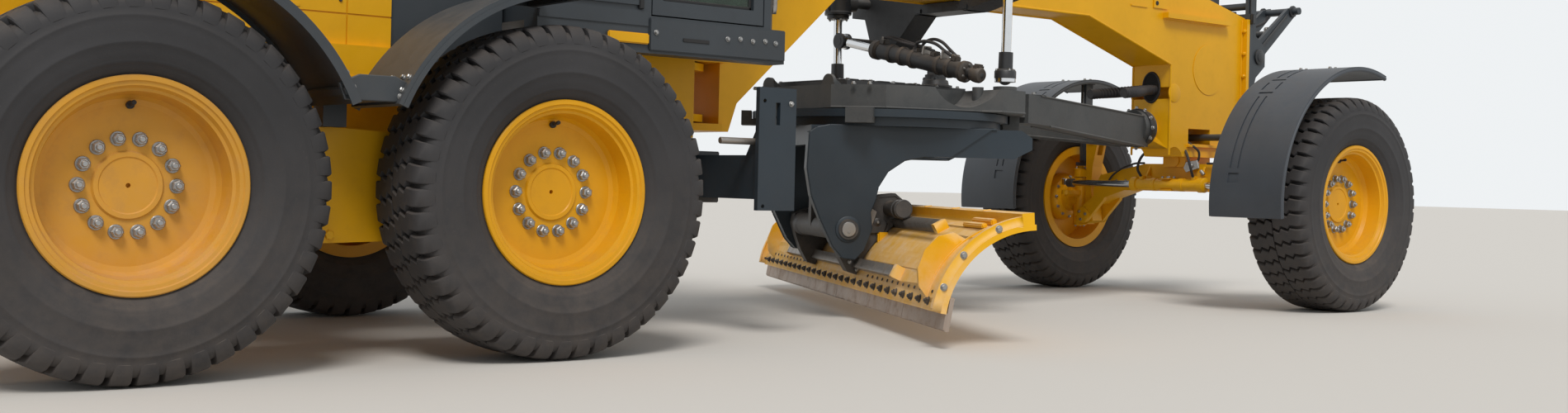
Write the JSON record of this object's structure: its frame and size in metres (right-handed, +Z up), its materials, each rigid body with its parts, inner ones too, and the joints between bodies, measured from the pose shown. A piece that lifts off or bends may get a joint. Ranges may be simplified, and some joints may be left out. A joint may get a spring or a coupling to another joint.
{
  "type": "motor grader",
  "caption": "Six-wheel articulated motor grader with an enclosed cab, a long gooseneck frame and an angled blade hung from a turning circle.",
  "frame": {"origin": "on the ground below the middle of the machine's bounding box", "axes": "+X forward, +Y to the machine's left, +Z up"},
  "size_m": [9.05, 3.4916, 3.29],
  "materials": {
    "yellow_paint": "worn satin",
    "charcoal_paint": "dusty satin",
    "black_paint": "satin",
    "tyre": "matt",
    "chrome": "polished",
    "worn_steel": "worn",
    "window_glass": "clear",
    "moulded_plastic": "matt",
    "seat_fabric": "woven"
  },
  "bodies": {
    "rear": {"rear_frame": "yellow_paint", "tandem_drive": "yellow_paint", "engine_block": "black_paint", "engine_hood": "yellow_paint", "rear_grille": "black_paint", "tank_bay": "charcoal_paint", "rear_fenders": "charcoal_paint", "exhaust_stacks": "black_paint", "cab_frame": "charcoal_paint", "cab_glass": "window_glass", "operator_seat": "seat_fabric", "control_console": "moulded_plastic", "access_steps": "charcoal_paint", "lamps_mirrors": "moulded_plastic", "side_bracket": "charcoal_paint"},
    "door_left": {"door_left": "black_paint"},
    "door_right": {"door_right": "black_paint"},
    "wheel_rear_left_back": {"rim_rear_left_back": "yellow_paint", "tyre_rear_left_back": "tyre"},
    "wheel_rear_left_front": {"rim_rear_left_front": "yellow_paint", "tyre_rear_left_front": "tyre"},
    "wheel_rear_right_back": {"rim_rear_right_back": "yellow_paint", "tyre_rear_right_back": "tyre"},
    "wheel_rear_right_front": {"rim_rear_right_front": "yellow_paint", "tyre_rear_right_front": "tyre"},
    "front": {"front_frame": "yellow_paint", "saddle": "black_paint", "front_mast": "charcoal_paint", "front_axle": "yellow_paint"},
    "front_lift_arm": {"front_lift_arm": "charcoal_paint"},
    "lean_left": {"lean_left": "yellow_paint"},
    "knuckle_left": {"knuckle_left": "yellow_paint", "fender_front_left": "moulded_plastic"},
    "wheel_front_left": {"rim_front_left": "yellow_paint", "tyre_front_left": "tyre"},
    "lean_right": {"lean_right": "yellow_paint"},
    "knuckle_right": {"knuckle_right": "yellow_paint", "fender_front_right": "moulded_plastic"},
    "wheel_front_right": {"rim_front_right": "yellow_paint", "tyre_front_right": "tyre"},
    "lean_bar": {"lean_bar": "charcoal_paint"},
    "steering_rod": {"steering_rod": "chrome"},
    "drawbar_ball": {"drawbar_ball": "worn_steel"},
    "drawbar": {"drawbar": "charcoal_paint", "circle_drive": "black_paint"},
    "circle": {"turning_circle": "charcoal_paint"},
    "tilt_bracket": {"tilt_bracket": "black_paint"},
    "blade": {"moldboard": "yellow_paint", "cutting_edge": "worn_steel", "side_shift_rod": "chrome"},
    "tilt_barrel": {"tilt_barrel": "black_paint"},
    "tilt_rod": {"tilt_rod": "chrome"},
    "lift_barrel_left": {"lift_barrel_left": "black_paint"},
    "lift_rod_left": {"lift_rod_left": "chrome"},
    "lift_barrel_right": {"lift_barrel_right": "black_paint"},
    "lift_rod_right": {"lift_rod_right": "chrome"},
    "shift_clevis": {"shift_clevis": "black_paint"},
    "shift_rod": {"shift_rod": "chrome"},
    "shift_barrel": {"shift_barrel": "black_paint"}
  },
  "joints": [
    {"name": "articulation", "type": "hinge", "parent": "rear", "child": "front", "pos_m": [-0.645, 0, 1.13], "axis": [0, 0, 1], "range_deg": [-20, 20]},
    {"name": "spin_rear_left_back", "type": "hinge", "parent": "rear", "child": "wheel_rear_left_back", "pos_m": [-3.51, 1.02, 0.645], "axis": [0, 1, 0], "continuous": true},
    {"name": "spin_rear_left_front", "type": "hinge", "parent": "rear", "child": "wheel_rear_left_front", "pos_m": [-1.94, 1.02, 0.645], "axis": [0, 1, 0], "continuous": true},
    {"name": "spin_rear_right_back", "type": "hinge", "parent": "rear", "child": "wheel_rear_right_back", "pos_m": [-3.51, -1.02, 0.645], "axis": [0, 1, 0], "continuous": true},
    {"name": "spin_rear_right_front", "type": "hinge", "parent": "rear", "child": "wheel_rear_right_front", "pos_m": [-1.94, -1.02, 0.645], "axis": [0, 1, 0], "continuous": true},
    {"name": "door_left", "type": "hinge", "parent": "rear", "child": "door_left", "pos_m": [-1.319, 0.82, 2.2], "axis": [0, 0, 1], "range_deg": [0, 80]},
    {"name": "door_right", "type": "hinge", "parent": "rear", "child": "door_right", "pos_m": [-1.319, -0.82, 2.2], "axis": [0, 0, -1], "range_deg": [0, 80]},
    {"name": "wheel_lean", "type": "hinge", "parent": "front", "child": "lean_right", "pos_m": [3.475, -0.79, 0.52], "axis": [1, 0, 0], "range_deg": [-16, 16]},
    {"name": "wheel_lean_left", "type": "hinge", "parent": "front", "child": "lean_left", "pos_m": [3.475, 0.79, 0.52], "axis": [1, 0, 0], "range_deg": [-16, 16]},
    {"name": "lean_bar", "type": "slide", "parent": "front", "child": "lean_bar", "axis": [0, -1, 0], "range_m": [-0.1507, 0.1507]},
    {"name": "steer", "type": "hinge", "parent": "lean_right", "child": "knuckle_right", "pos_m": [3.475, -0.9, 0.645], "axis": [0, 0, 1], "range_deg": [-40, 40]},
    {"name": "steer_left", "type": "hinge", "parent": "lean_left", "child": "knuckle_left", "pos_m": [3.475, 0.9, 0.645], "axis": [0, 0, 1], "range_deg": [-40, 40]},
    {"name": "steering_rod", "type": "slide", "parent": "front", "child": "steering_rod", "axis": [0, -1, 0], "range_m": [-0.1238, 0.1238]},
    {"name": "spin_front_left", "type": "hinge", "parent": "knuckle_left", "child": "wheel_front_left", "pos_m": [3.475, 1.08, 0.645], "axis": [0, 1, 0], "continuous": true},
    {"name": "spin_front_right", "type": "hinge", "parent": "knuckle_right", "child": "wheel_front_right", "pos_m": [3.475, -1.08, 0.645], "axis": [0, 1, 0], "continuous": true},
    {"name": "drawbar_swing", "type": "hinge", "parent": "front", "child": "drawbar_ball", "pos_m": [3.015, 0, 1.1], "axis": [0, 0, -1], "range_deg": [-6, 6]},
    {"name": "drawbar_lift", "type": "hinge", "parent": "drawbar_ball", "child": "drawbar", "pos_m": [3.015, 0, 1.1], "axis": [0, 1, 0], "range_deg": [-9, 5]},
    {"name": "circle_rotate", "type": "hinge", "parent": "drawbar", "child": "circle", "pos_m": [0.725, 0, 1.1], "axis": [0, 0, 1], "continuous": true},
    {"name": "blade_tilt", "type": "hinge", "parent": "circle", "child": "tilt_bracket", "pos_m": [0.43649, 0.14072, 0.47], "axis": [0.4384, 0.8988, 0], "range_deg": [-5, 40]},
    {"name": "blade_side_shift", "type": "slide", "parent": "tilt_bracket", "child": "blade", "axis": [-0.4384, -0.8988, 0], "range_m": [-0.55, 0.55]},
    {"name": "tilt_cylinder_pivot", "type": "hinge", "parent": "circle", "child": "tilt_barrel", "pos_m": [0.98116, -0.12494, 0.925], "axis": [0.4384, 0.8988, 0], "range_deg": [-11.96, 2.04]},
    {"name": "tilt_cylinder_rod", "type": "slide", "parent": "tilt_barrel", "child": "tilt_rod", "axis": [-0.8556, 0.4173, -0.3063], "range_m": [-0.1431, 0.0256]},
    {"name": "front_lift", "type": "hinge", "parent": "front", "child": "front_lift_arm", "pos_m": [4.0253, 0, 1.62], "axis": [0, -1, 0], "range_deg": [-35, 20]},
    {"name": "lift_pivot_left", "type": "hinge", "parent": "front", "child": "lift_barrel_left", "pos_m": [0.995, 0.69, 1.78], "axis": [0.9477, -0.319, 0], "range_deg": [-29.1, 29.1]},
    {"name": "lift_rod_left", "type": "slide", "parent": "lift_barrel_left", "child": "lift_rod_left", "axis": [0, -0.02, -0.9998], "range_m": [-0.1851, 0.3332]},
    {"name": "lift_pivot_right", "type": "hinge", "parent": "front", "child": "lift_barrel_right", "pos_m": [0.995, -0.69, 1.87], "axis": [0.9477, 0.319, 0], "range_deg": [-24.4, 24.4]},
    {"name": "lift_rod_right", "type": "slide", "parent": "lift_barrel_right", "child": "lift_rod_right", "axis": [0, 0.0169, -0.9999], "range_m": [-0.1851, 0.3332]},
    {"name": "drawbar_shift_clevis", "type": "hinge", "parent": "front", "child": "shift_clevis", "pos_m": [0.875, 0.5, 1.53], "axis": [1, 0, 0], "range_deg": [-10.4, 18.8]},
    {"name": "drawbar_shift_pin", "type": "hinge", "parent": "shift_clevis", "child": "shift_rod", "pos_m": [0.875, 0.5, 1.53], "axis": [1, 0, 0], "range_deg": [-2.8, 2.8]},
    {"name": "drawbar_shift_rod", "type": "slide", "parent": "shift_rod", "child": "shift_barrel", "axis": [0, -0.977, -0.2132], "range_m": [-0.2292, 0.2292]}
  ],
  "couplings": [
    {"joint": "wheel_lean_left", "follows": "wheel_lean", "ratio": 1},
    {"joint": "lean_bar", "follows": "wheel_lean", "m_per_rad": 0.52906},
    {"joint": "steer_left", "follows": "steer", "ratio": 1},
    {"joint": "steering_rod", "follows": "steer", "m_per_rad": 0.1731},
    {"joint": "tilt_cylinder_pivot", "follows": "blade_tilt", "ratio": -0.27189},
    {"joint": "tilt_cylinder_rod", "follows": "blade_tilt", "m_per_rad": -0.19524},
    {"joint": "lift_pivot_left", "follows": "drawbar_swing", "ratio": 4.4101},
    {"joint": "lift_rod_left", "follows": "drawbar_lift", "m_per_rad": -2.0204},
    {"joint": "lift_pivot_right", "follows": "drawbar_swing", "ratio": 3.6976},
    {"joint": "lift_rod_right", "follows": "drawbar_lift", "m_per_rad": -2.0203},
    {"joint": "drawbar_shift_clevis", "follows": "drawbar_lift", "ratio": -1.8973},
    {"joint": "drawbar_shift_pin", "follows": "drawbar_swing", "ratio": 0.42246},
    {"joint": "drawbar_shift_rod", "follows": "drawbar_swing", "m_per_rad": -2.0848}
  ]
}
